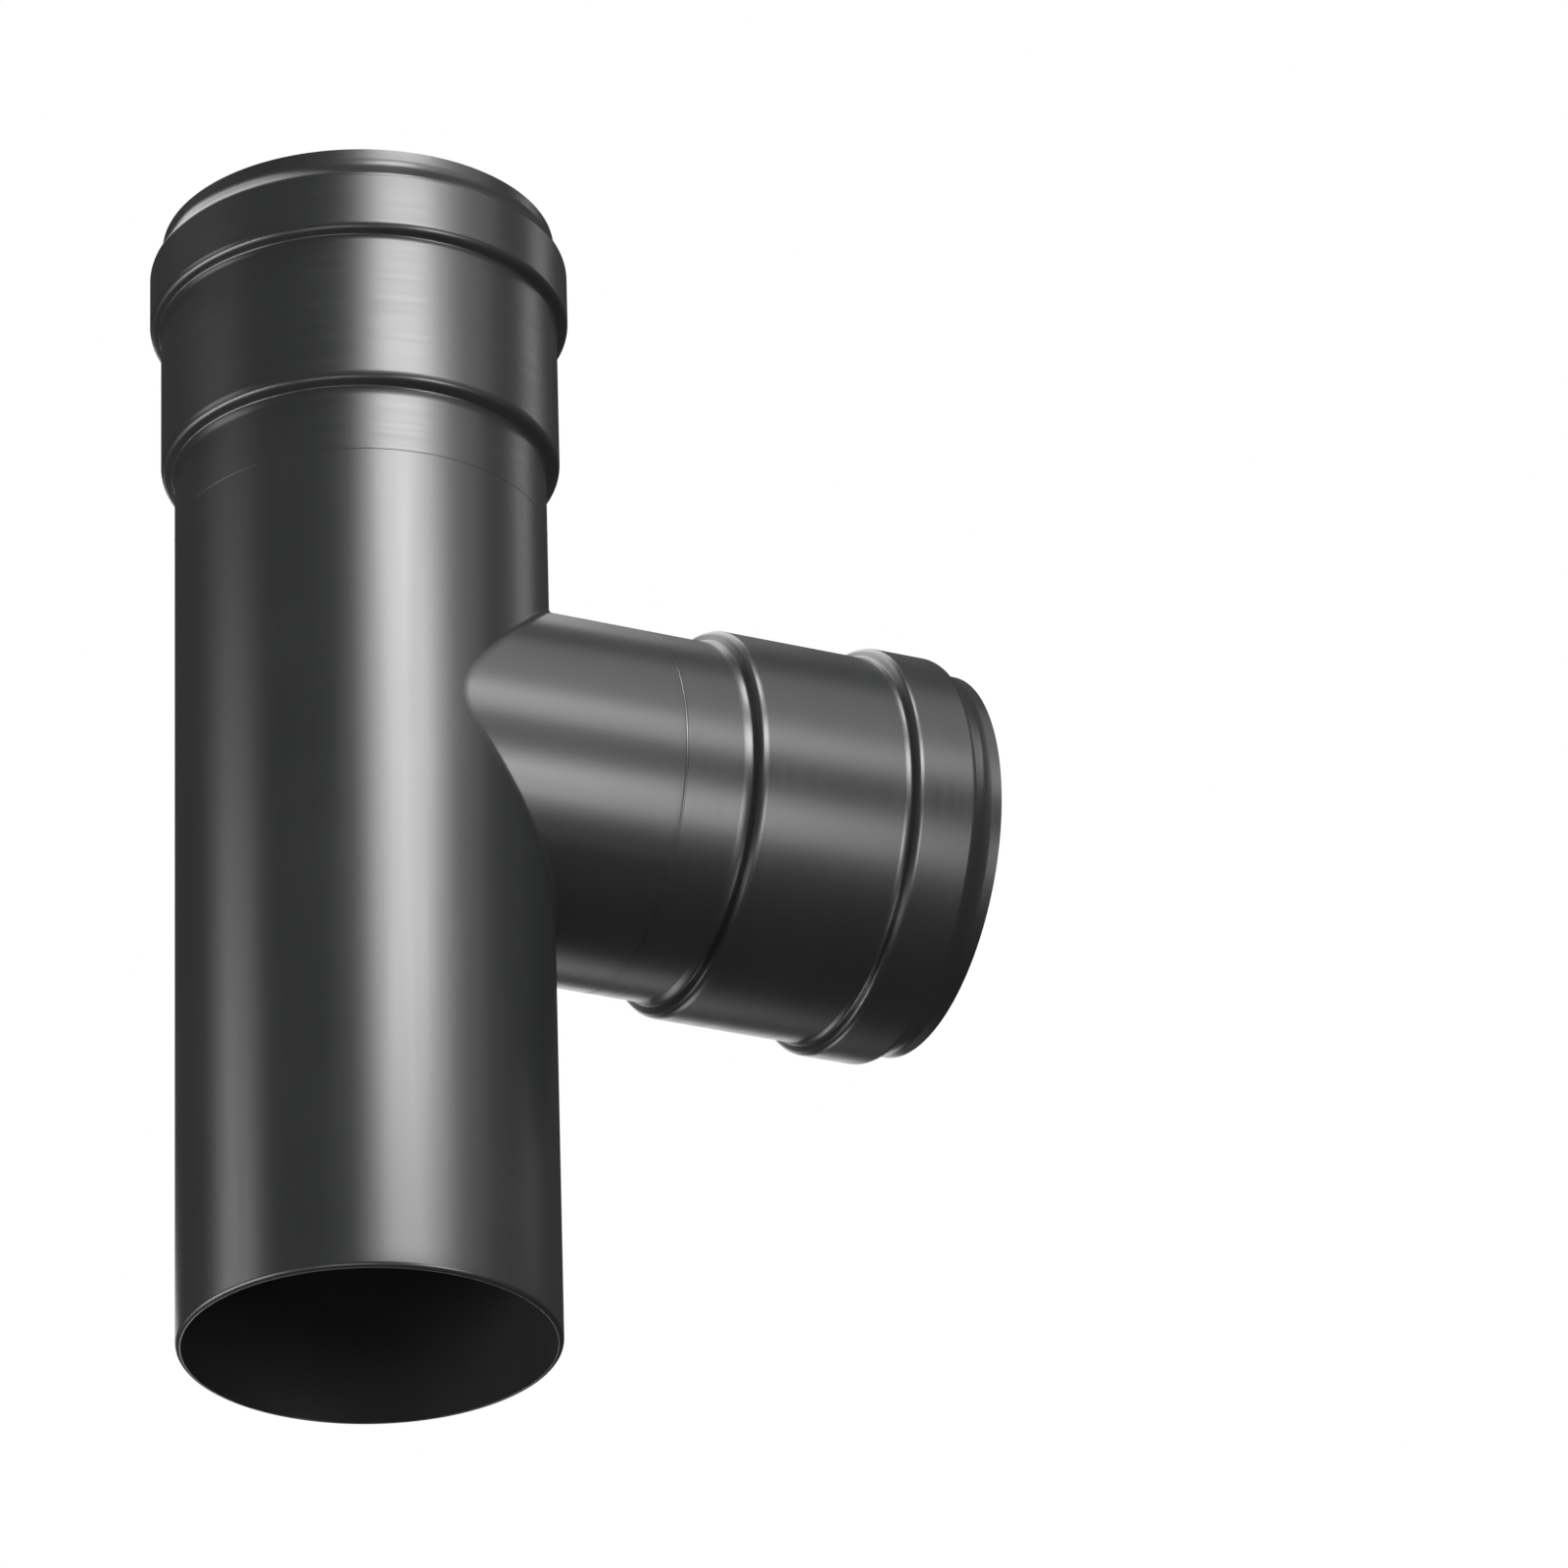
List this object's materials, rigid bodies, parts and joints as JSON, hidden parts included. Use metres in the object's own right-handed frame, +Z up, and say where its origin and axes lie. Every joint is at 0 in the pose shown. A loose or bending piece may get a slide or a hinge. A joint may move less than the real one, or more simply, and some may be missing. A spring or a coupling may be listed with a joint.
{
  "type": "stove pipe tee",
  "caption": "Black enamelled steel stove pipe tee: a plain-ended straight run with a formed socket on top and a socketed side branch, each socket holding a silicone lip seal.",
  "frame": {"origin": "on the level of the plain end's rim, under the middle of the whole tee's width; the run's own axis stands at x = -42.3 mm, y = 0", "axes": "+Z up the run, from the plain end to the top socket's mouth; +X along the branch, towards its socket's mouth; +Y across both pipes"},
  "size_m": [0.1754, 0.0908, 0.262],
  "materials": {
    "enamelled_steel": "satin black stove enamel",
    "silicone": "smooth dark red silicone"
  },
  "bodies": {
    "root": {"run_pipe": "enamelled_steel", "run_socket": "enamelled_steel", "branch_pipe": "enamelled_steel", "branch_socket": "enamelled_steel", "run_seal": "silicone", "branch_seal": "silicone"}
  },
  "joints": []
}
